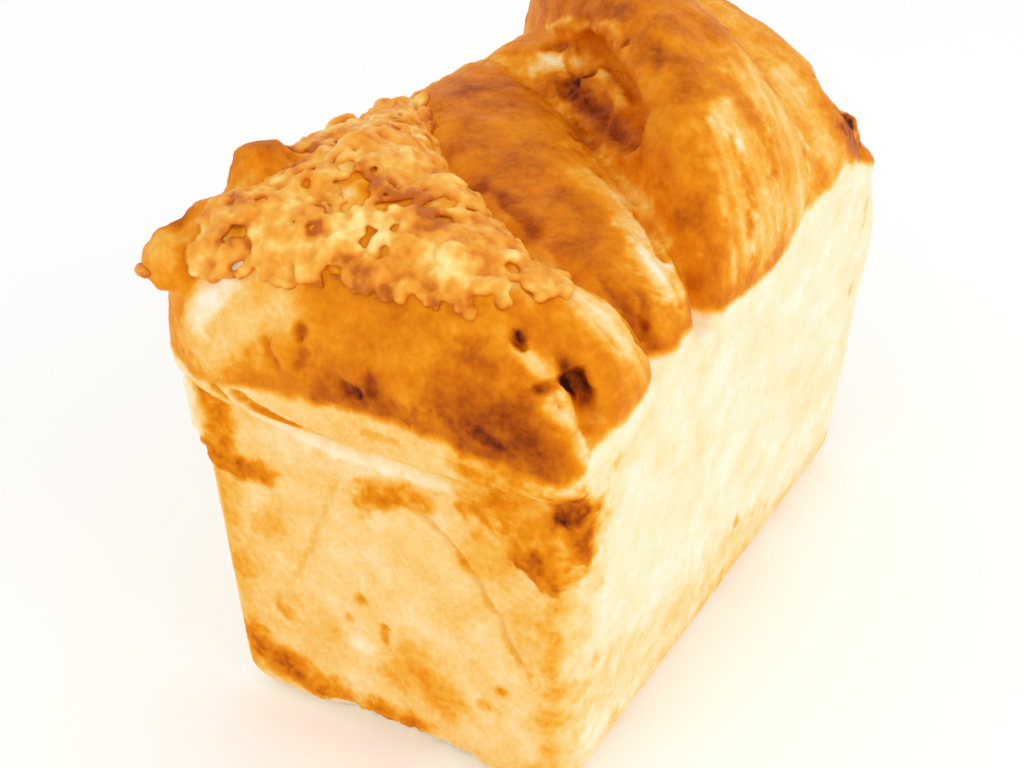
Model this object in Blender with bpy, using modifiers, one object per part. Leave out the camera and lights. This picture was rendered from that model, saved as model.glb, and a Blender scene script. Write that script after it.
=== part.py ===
"""A cheese pull-apart loaf: rolls of dough set side by side across a loaf tin and baked into one bread.

Metres, +Z up. The loaf lies along X. Its near long side faces -Y, and the end with the folded seam faces -X.
The origin is the middle of the flat base that it stands on.
"""

import math

import bmesh
import bpy
import numpy as np
from mathutils import Vector, noise

# The tin that shapes the lower part of the loaf.
TIN_LENGTH = 0.190
TIN_WIDTH = 0.1086
TIN_DEPTH = 0.107
END_TAPER = 0.0039  # how far each wall leans in from the rim to the bottom
SIDE_TAPER = 0.0072
CORNER_RADIUS = 0.009
CORNER_SEGMENTS = 5
FOOT = 0.0006  # points lower than this lie on the tin's bottom

# The dough pieces: the height at which each is widest, and how far it reaches down into the bread from there.
SHOULDER = 0.109
ROOT = 0.018
LOBE_SEGMENTS = 48
LOBE_RINGS = 32

# The pieces that rise above the rim, from the front end to the back: the piece's front edge and back edge in
# plan, each from the near side to the far side, the height of its top at those two sides, and how far the
# middle of each edge bows along the loaf. Then its section and plan powers: 1 is an ellipse, and smaller is
# squarer. Last its shoulder and root.
DOUGH_PIECES = (
    ("front_roll", ((-0.1005, -0.0535), (-0.1015, 0.058)), ((-0.080, -0.0535), (-0.056, 0.058)),
     (0.117, 0.151), (0.0, 0.0), 0.8, 0.5, 0.098, 0.010),
    ("mound", ((-0.098, -0.048), (-0.096, 0.057)), ((-0.066, -0.048), (0.024, 0.057)),
     (0.134, 0.148), (0.0, -0.024), 0.85, 0.42, SHOULDER, ROOT),
    ("flap", ((-0.092, -0.055), (-0.088, 0.000)), ((-0.063, -0.055), (-0.058, 0.000)),
     (0.129, 0.132), (0.0, 0.0), 1.0, 0.5, SHOULDER, ROOT),
    ("middle_leaf", ((-0.064, -0.055), (0.004, 0.057)), ((-0.046, -0.055), (0.046, 0.057)),
     (0.124, 0.139), (-0.022, 0.009), 0.65, 0.35, SHOULDER, ROOT),
    ("ledge", ((0.0, -0.020), (0.022, 0.056)), ((0.03, -0.020), (0.070, 0.056)),
     (0.132, 0.144), (0.0, 0.0), 1.0, 0.5, SHOULDER, ROOT),
    ("back_front", ((-0.050, -0.055), (0.058, 0.054)), ((0.040, -0.055), (0.092, 0.054)),
     (0.148, 0.172), (0.0, 0.0), 0.9, 0.5, SHOULDER, ROOT),
    ("back_rear", ((0.000, -0.055), (0.060, 0.054)), ((0.082, -0.055), (0.096, 0.054)),
     (0.138, 0.164), (0.0, 0.0), 1.0, 0.6, SHOULDER, ROOT),
    ("back_end", ((0.050, -0.052), (0.060, 0.054)), ((0.088, -0.052), (0.0955, 0.054)),
     (0.113, 0.138), (0.0, 0.0), 1.0, 0.45, SHOULDER, ROOT),
)

# The small round lumps of dough: centre and radii.
KNOB_SEGMENTS = 24
KNOB_RINGS = 16
KNOBS = (
    ("corner_knob", (-0.093, 0.050, 0.122), (0.008, 0.008, 0.008)),
    ("corner_lump", (-0.084, 0.047, 0.127), (0.009, 0.008, 0.007)),
    ("corner_overflow", (-0.089, 0.047, 0.086), (0.0065, 0.0075, 0.015)),
    ("side_knob", (-0.070, 0.043, 0.134), (0.009, 0.008, 0.009)),
    ("far_knob", (0.071, -0.043, 0.112), (0.007, 0.007, 0.010)),
)

# The crust's relief: crags in the melted cheese, and a slow swell everywhere.
CRAG_HEIGHT = 0.0022
CRAG_LENGTH = 0.0095
SWELL_HEIGHT = 0.0009
SWELL_LENGTH = 0.026
WALL_SWELL = 0.25  # share of the swell that the walls below the rim have
CRUST_FADE = 0.012  # height over which the swell grows from that to all of it

# Where the cheese ends behind the front mound: x at each y, from the near side to the far side.
CHEESE_EDGE_Y = (-0.052, -0.034, -0.014, 0.019, 0.045)
CHEESE_EDGE_X = (-0.060, -0.063, -0.056, -0.031, 0.005)
CHEESE_EDGE_FADE = 0.006
# Its lower limit and its limit on the near side: no cheese at the first, all of it at the second.
CHEESE_LOW_EDGE = (0.121, 0.129)
CHEESE_NEAR_EDGE = (-0.044, -0.030)

# The deepest folds and tears: the line that each follows, its half width, and how far it stands out of the
# crust (below 0 it is cut in).
FOLDS = (
    # slit and pit where the front roll's end meets the flap
    (((-0.088, -0.030, 0.127), (-0.087, -0.043, 0.119), (-0.088, -0.051, 0.111)), 0.0045, -0.0050),
    (((-0.091, -0.033, 0.125), (-0.089, -0.035, 0.126)), 0.0036, -0.0040),
    # torn hole under the back mound
    (((0.022, 0.014, 0.143), (0.008, 0.0, 0.141), (-0.014, -0.020, 0.137)), 0.0090, -0.0110),
    # the back mound's rolled front edge
    (((0.050, 0.012, 0.158), (0.030, -0.004, 0.155), (0.019, -0.018, 0.150), (0.008, -0.020, 0.143)),
     0.0045, 0.0024),
    # the far corner, where the dough did not fill the tin
    (((0.099, -0.058, 0.114), (0.099, -0.058, 0.104)), 0.030, -0.0070),
)

FOLDING_VOXEL = 0.0016
FUSE_VOXEL = 0.0018
MOST_TRIANGLES = 11500
CRUST_COLOUR = (0.80, 0.50, 0.20, 1.0)
CRUST_ROUGHNESS = 0.6


def clear_scene():
    for old in list(bpy.data.objects):
        bpy.data.objects.remove(old, do_unlink=True)


def collection(name):
    made = bpy.data.collections.new(name)
    bpy.context.scene.collection.children.link(made)
    return made


def object_from(name, shape, home):
    """The bmesh as an object of that collection."""
    mesh = bpy.data.meshes.new(name)
    shape.to_mesh(mesh)
    shape.free()
    made = bpy.data.objects.new(name, mesh)
    home.objects.link(made)
    return made


def tin_block(home):
    """The bread below the tin's rim: a block whose walls lean in, with rounded corners and foot."""
    shape = bmesh.new()
    bmesh.ops.create_cube(shape, size=1.0)
    for corner in shape.verts:
        low = corner.co.z < 0
        corner.co.x = math.copysign(TIN_LENGTH / 2 - (END_TAPER if low else 0.0), corner.co.x)
        corner.co.y = math.copysign(TIN_WIDTH / 2 - (SIDE_TAPER if low else 0.0), corner.co.y)
        corner.co.z = 0.0 if low else TIN_DEPTH
    rounded = [edge for edge in shape.edges if min(end.co.z for end in edge.verts) < TIN_DEPTH / 2]
    bmesh.ops.bevel(
        shape,
        geom=rounded,
        offset=CORNER_RADIUS,
        segments=CORNER_SEGMENTS,
        profile=0.5,
        affect="EDGES",
    )
    return object_from("tin_block", shape, home)


def signed_power(value, exponent):
    return math.copysign(abs(value) ** exponent, value)


def dough_piece(name, home, front, back, crest, bows, section, plan, shoulder, root):
    """One dough piece that crosses the tin: a pillow whose plan is a rounded four-sided shape."""
    shape = bmesh.new()
    bmesh.ops.create_uvsphere(shape, u_segments=LOBE_SEGMENTS, v_segments=LOBE_RINGS, radius=1.0)
    front = [Vector(end) for end in front]
    back = [Vector(end) for end in back]
    for point in shape.verts:
        latitude = math.asin(max(-1.0, min(1.0, point.co.z)))
        longitude = math.atan2(point.co.y, point.co.x)
        reach = signed_power(math.cos(latitude), section)
        across = (reach * signed_power(math.cos(longitude), plan) + 1) / 2
        along = (reach * signed_power(math.sin(longitude), plan) + 1) / 2
        lift = signed_power(math.sin(latitude), section)
        bent = 4 * along * (1 - along)
        front_edge = front[0].lerp(front[1], along) + Vector((bows[0] * bent, 0))
        back_edge = back[0].lerp(back[1], along) + Vector((bows[1] * bent, 0))
        place = front_edge.lerp(back_edge, across)
        top = crest[0] + (crest[1] - crest[0]) * along
        point.co = Vector((place.x, place.y, shoulder + lift * ((top - shoulder) if lift > 0 else root)))
    return object_from(name, shape, home)


def knob(name, home, centre, radii):
    """A small round lump of dough."""
    shape = bmesh.new()
    bmesh.ops.create_uvsphere(shape, u_segments=KNOB_SEGMENTS, v_segments=KNOB_RINGS, radius=1.0)
    for point in shape.verts:
        point.co = Vector(centre) + Vector([a * r for a, r in zip(point.co, radii)])
    return object_from(name, shape, home)


def shells(shape):
    """The bmesh's points as lists, one for each closed surface."""
    waiting = set(shape.verts)
    found = []
    while waiting:
        reached = [waiting.pop()]
        for point in reached:
            for edge in point.link_edges:
                other = edge.other_vert(point)
                if other in waiting:
                    waiting.discard(other)
                    reached.append(other)
        found.append(reached)
    return found


def remeshed(whole, voxel):
    """The object's overlapping shapes made one skin of small cubes, without any gap closed up inside."""
    remesh = whole.modifiers.new("bake_together", "REMESH")
    remesh.mode = "VOXEL"
    remesh.voxel_size = voxel
    shape = bmesh.new()
    shape.from_object(whole, bpy.context.evaluated_depsgraph_get())
    whole.modifiers.clear()
    inner = sorted(shells(shape), key=len)[:-1]
    bmesh.ops.delete(shape, geom=[point for shell in inner for point in shell], context="VERTS")
    shape.to_mesh(whole.data)
    shape.free()


def fused(name, sources, home):
    """The pieces baked into one, with the deep folds worked in before the skin is evened out."""
    joined = bmesh.new()
    for piece in sources:
        joined.from_mesh(piece.data)
        bpy.data.objects.remove(piece, do_unlink=True)
    whole = object_from(name, joined, home)
    remeshed(whole, FOLDING_VOXEL)
    points, normals = points_of(whole.data)
    height = np.zeros(len(points))
    for path, half_width, lift in FOLDS:
        height += lift * (1 - blend(0.0, half_width, away_from_path(points, path)))
    move_points(whole.data, points + normals * height[:, None])
    remeshed(whole, FUSE_VOXEL)
    return whole


def points_of(mesh):
    """The mesh's points and normals, as two arrays."""
    points = np.empty(len(mesh.vertices) * 3)
    normals = np.empty(len(mesh.vertices) * 3)
    mesh.vertices.foreach_get("co", points)
    mesh.vertex_normals.foreach_get("vector", normals)
    return points.reshape(-1, 3), normals.reshape(-1, 3)


def move_points(mesh, points):
    mesh.vertices.foreach_set("co", points.ravel())
    mesh.update()


def blend(low, high, value):
    """0 below low, 1 above high, and a smooth step between."""
    share = np.clip((value - low) / (high - low), 0.0, 1.0)
    return share * share * (3 - 2 * share)


def away_from_path(points, path):
    """How far each point is from a line through the path's points."""
    nearest = np.full(len(points), np.inf)
    for start, end in zip(path, path[1:]):
        start = np.array(start)
        run = np.array(end) - start
        share = np.clip((points - start) @ run / (run @ run), 0.0, 1.0)
        nearest = np.minimum(nearest, np.linalg.norm(points - start - share[:, None] * run, axis=1))
    return nearest


def cheese_cover(points):
    """1 where melted cheese lies on the crust, 0 where there is none."""
    edge = np.interp(points[:, 1], CHEESE_EDGE_Y, CHEESE_EDGE_X)
    behind = blend(0.0, CHEESE_EDGE_FADE, edge - points[:, 0])
    risen = blend(*CHEESE_LOW_EDGE, points[:, 2])
    inward = blend(*CHEESE_NEAR_EDGE, points[:, 1])
    return behind * risen * inward


def shape_relief(whole):
    """Crags in the melted cheese, a slow swell over the crust, and a flat base."""
    points, normals = points_of(whole.data)
    crags = np.array([noise.fractal(Vector(point) / CRAG_LENGTH, 0.6, 2.0, 3) for point in points])
    swell = np.array([noise.noise(Vector(point) / SWELL_LENGTH) for point in points])
    above_rim = blend(TIN_DEPTH, TIN_DEPTH + CRUST_FADE, points[:, 2])
    height = CRAG_HEIGHT * crags * cheese_cover(points)
    height += SWELL_HEIGHT * swell * (WALL_SWELL + (1 - WALL_SWELL) * above_rim)
    points += normals * height[:, None]
    points[points[:, 2] < FOOT, 2] = 0.0
    move_points(whole.data, points)


def crust_material():
    material = bpy.data.materials.new("crust")
    material.use_nodes = True
    shader = material.node_tree.nodes["Principled BSDF"]
    shader.inputs["Base Color"].default_value = CRUST_COLOUR
    shader.inputs["Roughness"].default_value = CRUST_ROUGHNESS
    shader.inputs["Metallic"].default_value = 0.0
    return material


def main():
    clear_scene()
    home = collection("cheese_pull_apart_bread")
    tin_block(home)
    for name, *values in DOUGH_PIECES:
        dough_piece(name, home, *values)
    for name, centre, radii in KNOBS:
        knob(name, home, centre, radii)
    loaf = fused("loaf", list(home.objects), home)
    shape_relief(loaf)
    loaf.data.materials.append(crust_material())
    loaf.data.shade_smooth()
    few = loaf.modifiers.new("few_triangles", "DECIMATE")
    few.ratio = MOST_TRIANGLES / sum(len(face.vertices) - 2 for face in loaf.data.polygons)


main()
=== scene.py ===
"""A cheese pull-apart loaf on a white table: the bread, then the cheese melted over its front end."""

import math
import random
import bmesh
import bpy
import numpy as np
from mathutils import Matrix, Vector, noise


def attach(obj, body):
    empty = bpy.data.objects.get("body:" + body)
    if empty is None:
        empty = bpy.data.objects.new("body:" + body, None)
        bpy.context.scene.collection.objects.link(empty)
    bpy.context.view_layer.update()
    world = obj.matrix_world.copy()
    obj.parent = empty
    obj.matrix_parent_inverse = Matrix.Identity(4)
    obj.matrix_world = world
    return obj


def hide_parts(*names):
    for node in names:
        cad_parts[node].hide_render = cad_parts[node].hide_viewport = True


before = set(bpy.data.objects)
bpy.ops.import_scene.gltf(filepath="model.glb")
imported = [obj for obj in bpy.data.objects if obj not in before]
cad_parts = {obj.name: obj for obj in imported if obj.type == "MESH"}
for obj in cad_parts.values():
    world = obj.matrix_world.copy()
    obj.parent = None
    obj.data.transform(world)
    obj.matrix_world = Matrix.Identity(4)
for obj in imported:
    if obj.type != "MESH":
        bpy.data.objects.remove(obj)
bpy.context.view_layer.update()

# The table and the light.
# A seamless white table top under a large soft light on the loaf's near long side, a weaker one on its
# front end, and an even white room, as small baked goods are shot for a catalogue. The table top glows
# faintly, so that it comes out white.
WHITE = (1.0, 1.0, 1.0, 1.0)
TABLE_SIZE = 6.0
TABLE_WHITE = (0.97, 0.97, 0.965, 1.0)
TABLE_ROUGHNESS = 0.9
TABLE_SPECULAR = 0.1
TABLE_GLOW = 0.06
ROOM_LIGHT = 0.92
# name, place, the point that it faces, size, power, tint
LIGHTS = (
    ("long_side_light", (-0.15, -0.95, 0.62), (0.0, 0.0, 0.07), 0.8, 1.75, (1.0, 0.985, 0.96)),
    ("front_end_light", (-1.05, 0.10, 0.55), (0.0, 0.0, 0.09), 0.8, 0.8, (1.0, 0.97, 0.93)),
)
# The camera stands where the photo was taken from, as found from the edges that the tin left on the loaf.
CAMERA_PLACE = (-0.33173858, -0.1697739, 0.28014026)
CAMERA_BEARING = math.radians(-60.43871656)
CAMERA_PITCH = math.radians(30.95372502)
CAMERA_ROLL = math.radians(0.49339663)
CAMERA_LENS = 56.25
CAMERA_SENSOR = 36.0
CAMERA_NEAREST = 0.01


def new_material(name):
    """A material with its own node tree, and that tree and its shader."""
    made = bpy.data.materials.new(name)
    made.use_nodes = True
    tree = made.node_tree
    return made, tree, tree.nodes["Principled BSDF"]


def soft_light(name, place, aim, size, power, tint):
    """A square light panel that faces the aim point."""
    panel = bpy.data.lights.new(name, "AREA")
    panel.shape = "SQUARE"
    panel.size = size
    panel.energy = power
    panel.color = tint
    made = bpy.data.objects.new(name, panel)
    made.location = place
    made.rotation_mode = "QUATERNION"
    made.rotation_quaternion = (Vector(aim) - Vector(place)).to_track_quat("-Z", "Y")
    bpy.context.scene.collection.objects.link(made)


top = bmesh.new()
bmesh.ops.create_grid(top, x_segments=1, y_segments=1, size=TABLE_SIZE / 2)
table_mesh = bpy.data.meshes.new("table_top")
top.to_mesh(table_mesh)
top.free()
table_top = bpy.data.objects.new("table_top", table_mesh)
bpy.context.scene.collection.objects.link(table_top)
table_paint, _, table_shader = new_material("table_white")
table_shader.inputs["Base Color"].default_value = TABLE_WHITE
table_shader.inputs["Roughness"].default_value = TABLE_ROUGHNESS
table_shader.inputs["Specular IOR Level"].default_value = TABLE_SPECULAR
table_shader.inputs["Emission Color"].default_value = WHITE
table_shader.inputs["Emission Strength"].default_value = TABLE_GLOW
table_mesh.materials.append(table_paint)

room = bpy.data.worlds.new("white_room")
room.use_nodes = True
room.node_tree.nodes["Background"].inputs["Color"].default_value = WHITE
room.node_tree.nodes["Background"].inputs["Strength"].default_value = ROOM_LIGHT
bpy.context.scene.world = room

for light in LIGHTS:
    soft_light(*light)

camera = bpy.data.objects.new("photo_camera", bpy.data.cameras.new("photo_camera"))
camera.data.lens = CAMERA_LENS
camera.data.sensor_width = CAMERA_SENSOR
camera.data.clip_start = CAMERA_NEAREST
camera.location = CAMERA_PLACE
behind = Vector((
    math.sin(CAMERA_BEARING) * math.cos(CAMERA_PITCH),
    -math.cos(CAMERA_BEARING) * math.cos(CAMERA_PITCH),
    math.sin(CAMERA_PITCH),
))
camera.rotation_mode = "QUATERNION"
upright = (-behind).to_track_quat("-Z", "Y")
camera.rotation_quaternion = upright @ Matrix.Rotation(CAMERA_ROLL, 3, "Z").to_quaternion()
bpy.context.scene.collection.objects.link(camera)
bpy.context.scene.camera = camera
bpy.context.scene.view_settings.view_transform = "Standard"

# The bread.
# One baked body of soft white dough. Its lower part took the shape of the tin, and above the rim the rolls
# of dough that were set across the tin rose, leaned on each other, browned and baked together.
# Sizes are in millimetres. What comes out below the foot is set flat on the table.
MM = 0.001
TIN_LENGTH = 190.0
TIN_WIDTH = 108.6
TIN_DEPTH = 107.0
END_TAPER = 3.9
SIDE_TAPER = 7.2
CORNER_RADIUS = 9.0
CORNER_STEPS = 6
SHOULDER = 109.0
ROOT = 18.0
FOOT = 0.6
CARVING_VOXEL = 1.3
BREAD_VOXEL = 1.0
BREAD_TRIANGLES = 194000
BALL_SUBDIVISIONS = 5
KNOB_SUBDIVISIONS = 4

# name, front edge and back edge in plan from the near side to the far side, crest at the two sides, how far
# the middle of each edge bows back, the section and plan powers, the height where it is widest, and how far
# it reaches below that.
DOUGH_PIECES = (
    ("front_roll", (-100.5, -53.5, -101.5, 58), (-80, -53.5, -56, 58), (117, 151), (0, 0), 0.8, 0.5, 98, 10),
    ("mound", (-98, -48, -96, 57), (-66, -48, 24, 57), (134, 148), (0, -24), 0.85, 0.42, SHOULDER, ROOT),
    ("flap", (-92, -55, -88, 0), (-63, -55, -58, 0), (129, 132), (0, 0), 1.0, 0.5, SHOULDER, ROOT),
    ("middle_leaf", (-64, -55, 4, 57), (-46, -55, 46, 57), (124, 139), (-22, 9), 0.65, 0.35, SHOULDER, ROOT),
    ("ledge", (0, -20, 22, 56), (30, -20, 70, 56), (132, 144), (0, 0), 1.0, 0.5, SHOULDER, ROOT),
    ("back_front", (-50, -55, 58, 54), (40, -55, 92, 54), (148, 172), (0, 0), 0.9, 0.5, SHOULDER, ROOT),
    ("back_rear", (0, -55, 60, 54), (82, -55, 96, 54), (138, 164), (0, 0), 1.0, 0.6, SHOULDER, ROOT),
    ("back_end", (50, -52, 60, 54), (88, -52, 95.5, 54), (113, 138), (0, 0), 1.0, 0.45, SHOULDER, ROOT),
)
# Small round lumps of dough: centre and radii.
KNOBS = (
    ((-93, 50, 122), (8, 8, 8)),
    ((-84, 47, 127), (9, 8, 7)),
    ((-89, 47, 86), (6.5, 7.5, 15)),
    ((-70, 43, 134), (9, 8, 9)),
    ((71, -43, 112), (7, 7, 10)),
)


def object_from(name, shape):
    """The bmesh, measured in millimetres, as an object of the scene in metres."""
    bmesh.ops.scale(shape, vec=(MM, MM, MM), verts=shape.verts)
    mesh = bpy.data.meshes.new(name)
    shape.to_mesh(mesh)
    shape.free()
    made = bpy.data.objects.new(name, mesh)
    bpy.context.scene.collection.objects.link(made)
    return made


def signed_power(value, exponent):
    """The value's size to that power, with the value's own sign."""
    return math.copysign(abs(value) ** exponent, value)


def add_tin_block(shape):
    """The bread below the tin's rim: a block whose walls lean in, with rounded corners and foot."""
    block = bmesh.ops.create_cube(shape, size=1.0)["verts"]
    for corner in block:
        low = corner.co.z < 0
        corner.co.x = math.copysign(TIN_LENGTH / 2 - (END_TAPER if low else 0.0), corner.co.x)
        corner.co.y = math.copysign(TIN_WIDTH / 2 - (SIDE_TAPER if low else 0.0), corner.co.y)
        corner.co.z = 0.0 if low else TIN_DEPTH
    edges = {edge for corner in block for edge in corner.link_edges}
    rounded = [edge for edge in edges if min(end.co.z for end in edge.verts) < TIN_DEPTH / 2]
    bmesh.ops.bevel(
        shape,
        geom=rounded,
        offset=CORNER_RADIUS,
        segments=CORNER_STEPS,
        profile=0.5,
        affect="EDGES",
        material=-1,
    )


def add_dough_piece(shape, piece):
    """A ball pulled into a pillow that crosses the tin, with a rounded four-sided plan."""
    front, back, crest, bows, section, plan, shoulder, root = piece[1:]
    front = [Vector(front[:2]), Vector(front[2:])]
    back = [Vector(back[:2]), Vector(back[2:])]
    ball = bmesh.ops.create_icosphere(shape, subdivisions=BALL_SUBDIVISIONS, radius=1.0)["verts"]
    for point in ball:
        latitude = math.asin(max(-1.0, min(1.0, point.co.z)))
        longitude = math.atan2(point.co.y, point.co.x)
        reach = signed_power(math.cos(latitude), section)
        across = (reach * signed_power(math.cos(longitude), plan) + 1) / 2
        along = (reach * signed_power(math.sin(longitude), plan) + 1) / 2
        lift = signed_power(math.sin(latitude), section)
        bent = 4 * along * (1 - along)
        front_edge = front[0].lerp(front[1], along) + Vector((bows[0] * bent, 0))
        back_edge = back[0].lerp(back[1], along) + Vector((bows[1] * bent, 0))
        place = front_edge.lerp(back_edge, across)
        top = crest[0] + (crest[1] - crest[0]) * along
        point.co = Vector((place.x, place.y, shoulder + lift * ((top - shoulder) if lift > 0 else root)))


def add_knob(shape, centre, radii):
    """A small round lump of dough."""
    where = Matrix.Translation(centre) @ Matrix.Diagonal((*radii, 1.0))
    bmesh.ops.create_icosphere(shape, subdivisions=KNOB_SUBDIVISIONS, radius=1.0, matrix=where)


def shells(skin):
    """The bmesh's points as lists, one for each closed surface, the smallest first."""
    waiting = set(skin.verts)
    found = []
    while waiting:
        reached = [waiting.pop()]
        for point in reached:
            for edge in point.link_edges:
                other = edge.other_vert(point)
                if other in waiting:
                    waiting.discard(other)
                    reached.append(other)
        found.append(reached)
    return sorted(found, key=len)


def add_remesh(whole, voxel):
    """The modifier that makes the object's overlapping shapes one skin, of faces the size of the voxel."""
    remesh = whole.modifiers.new("bake_together", "REMESH")
    remesh.mode = "VOXEL"
    remesh.voxel_size = voxel * MM


def take_skin(whole):
    """The object's mesh as its modifiers leave it, as a bmesh; the modifiers are taken off."""
    skin = bmesh.new()
    skin.from_object(whole, bpy.context.evaluated_depsgraph_get())
    whole.modifiers.clear()
    return skin


def put_skin(whole, skin):
    """The bmesh put back as the object's mesh."""
    skin.to_mesh(whole.data)
    skin.free()


def remeshed(whole, voxel):
    """The object's overlapping shapes made one skin, without the gaps that are closed up inside it."""
    add_remesh(whole, voxel)
    skin = take_skin(whole)
    inner = [point for shell in shells(skin)[:-1] for point in shell]
    bmesh.ops.delete(skin, geom=inner, context="VERTS")
    put_skin(whole, skin)


def evened(whole, place, reach, rounds):
    """The skin within reach of the place smoothed down."""
    skin = bmesh.new()
    skin.from_mesh(whole.data)
    place = Vector(place) * MM
    near = [point for point in skin.verts if (point.co - place).length < reach * MM]
    for _ in range(rounds):
        bmesh.ops.smooth_vert(
            skin, verts=near, factor=0.5, use_axis_x=True, use_axis_y=True, use_axis_z=True
        )
    put_skin(whole, skin)


def thinned(whole, most):
    """The mesh with its flattest triangles merged until no more than the most are left."""
    count = sum(len(face.vertices) - 2 for face in whole.data.polygons)
    if count > most:
        few = whole.modifiers.new("fewer_triangles", "DECIMATE")
        few.ratio = most / count
        put_skin(whole, take_skin(whole))


def read_points(mesh):
    """The mesh's points in millimetres and its normals, as two arrays."""
    points = np.empty(len(mesh.vertices) * 3)
    normals = np.empty(len(mesh.vertices) * 3)
    mesh.vertices.foreach_get("co", points)
    mesh.vertex_normals.foreach_get("vector", normals)
    return points.reshape(-1, 3) / MM, normals.reshape(-1, 3)


def write_points(mesh, points):
    """The points, in millimetres, put back on the mesh."""
    mesh.vertices.foreach_set("co", (points * MM).ravel())
    mesh.update()


def blend(low, high, value):
    """0 below low, 1 above high, and a smooth step between."""
    share = np.clip((value - low) / (high - low), 0.0, 1.0)
    return share * share * (3 - 2 * share)


# Each set of smooth random patches: its strength, as a height in millimetres, a change of tone or a share,
# the length of one patch in millimetres, the number of octaves, and a shift that keeps it apart from the
# others. Each octave is finer than the last by the step, and weaker by the step to the power of the fading.
WANDER = (1.0, 5.0, 3, 0.0)
JAGS = (0.4, 2.4, 2, 7.0)
RIM_WANDER = (1.1, 7.0, 2, 5.0)
STREAKS = (1.0, 1.0, 3, 0.0)
SWELLS = (0.9, 26.0, 1, 0.0)
DENTS = (0.5, 9.0, 2, 3.0)
CHEESE_CRAGS = (1.8, 9.5, 3, 0.0)
CRUMBS = (0.9, 3.6, 3, 2.0)
KNOB_LUMPS = (0.8, 5.0, 2, 12.0)
PIMPLES = (0.16, 2.6, 2, 8.0)
MOTTLES = (1.0, 5.0, 4, 11.0)
WALL_CLOUDS = (0.06, 16.0, 3, 2.0)
CRUST_CLOUDS = (0.09, 14.0, 3, 4.0)
UNDER_CHEESE_CLOUDS = (0.22, 8.0, 3, 9.0)
OCTAVE_FADING = 0.55
OCTAVE_STEP = 2.0


def patches(points, strength, length, octaves, shift):
    """Smooth random patches of about that length, from less to more than 0 by about the strength."""
    moved = points / length + shift
    if octaves == 1:
        return strength * np.array([noise.noise(Vector(point)) for point in moved])
    fractal = [noise.fractal(Vector(point), OCTAVE_FADING, OCTAVE_STEP, octaves) for point in moved]
    return strength * np.array(fractal)


def on_bread(place):
    """The point of the crust nearest to the place, and the crust's normal there, in millimetres."""
    _, spot, normal, _ = bread.closest_point_on_mesh(place * MM)
    return spot / MM, normal


# How far apart a path's points are laid, the shortest stretch that counts as one, and the share of a mark's
# half width that is drawn in full.
PATH_STEP = 4.0
LEAST_RUN = 1e-9
CORE = 0.2


def laid(path):
    """The path in short steps, each laid on the nearest crust."""
    line = []
    for start, end in zip(path, path[1:] or path):
        start, end = Vector(start), Vector(end)
        steps = max(1, round((end - start).length / PATH_STEP))
        line += [start.lerp(end, step / steps) for step in range(steps + 1)]
    return np.array([on_bread(point)[0] for point in line])


def away_from_line(points, path):
    """How far each point is from the path; a path of one point is that point."""
    line = np.array(path, dtype=float)
    nearest = np.linalg.norm(points - line[0], axis=1)
    for start, end in zip(line, line[1:]):
        run = end - start
        share = np.clip((points - start) @ run / max(run @ run, LEAST_RUN), 0.0, 1.0)
        nearest = np.minimum(nearest, np.linalg.norm(points - start - share[:, None] * run, axis=1))
    return nearest


def drawn(points, path, half_width, ragged):
    """1 along the core of the path, fading to 0 at its half width, with an edge as ragged as given."""
    line = laid(path)
    reach = 2 * half_width
    close = np.all((points > line.min(axis=0) - reach) & (points < line.max(axis=0) + reach), axis=1)
    share = np.zeros(len(points))
    away = away_from_line(points[close], line) * (1 + ragged[close])
    share[close] = 1 - blend(CORE * half_width, half_width, away)
    return share


# Where the tin's rim drew the edge between pale wall and brown crust: the height at each place along the
# wall, and how softly one wall's edge goes over into the next one's.
RIM_NEAR = ((-97, 110), (-93, 109), (-82, 107), (-68, 111), (-51, 114), (-45, 112), (-31, 108), (-4, 108),
            (15, 112), (39, 114), (48, 115), (57, 113), (66, 109), (74, 105), (97, 100))
RIM_FRONT = ((-54, 100), (-49, 97.5), (-42, 99), (-29, 101), (-12, 102.5), (5, 102.5), (21, 100.5),
             (32, 98.5), (45, 97), (54, 100))
RIM_FAR = ((-97, 104), (-70, 109), (-48, 113), (-20, 110), (12, 112), (40, 115), (70, 112), (97, 107))
RIM_BACK = ((-54, 106), (-38, 111), (-20, 108), (-2, 112), (20, 110), (38, 113), (54, 108))
RIM_SOFTNESS = 1.5


def rim_height(points):
    """The rim's height for each point, taken mostly from the wall that the point is closest to."""
    x, y = points[:, 0], points[:, 1]
    walls = (
        (y + TIN_WIDTH / 2, x, RIM_NEAR),
        (x + TIN_LENGTH / 2, y, RIM_FRONT),
        (TIN_WIDTH / 2 - y, x, RIM_FAR),
        (TIN_LENGTH / 2 - x, y, RIM_BACK),
    )
    total = np.zeros(len(points))
    weights = np.zeros(len(points))
    for gap, run, line in walls:
        weight = 1 / (np.maximum(gap, 0.0) + RIM_SOFTNESS) ** 2
        total += weight * np.interp(run, *zip(*line))
        weights += weight
    return total / weights


# How far past its edges a dough piece's lie still changes, as a share of the piece. Then how many streaks
# lie across a piece and along it, and how far their pattern shifts from one piece to the next.
OVERHANG = 0.2
STREAKS_ACROSS = 11
STREAKS_ALONG = 1.8
STREAKS_APART = 7.0


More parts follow.
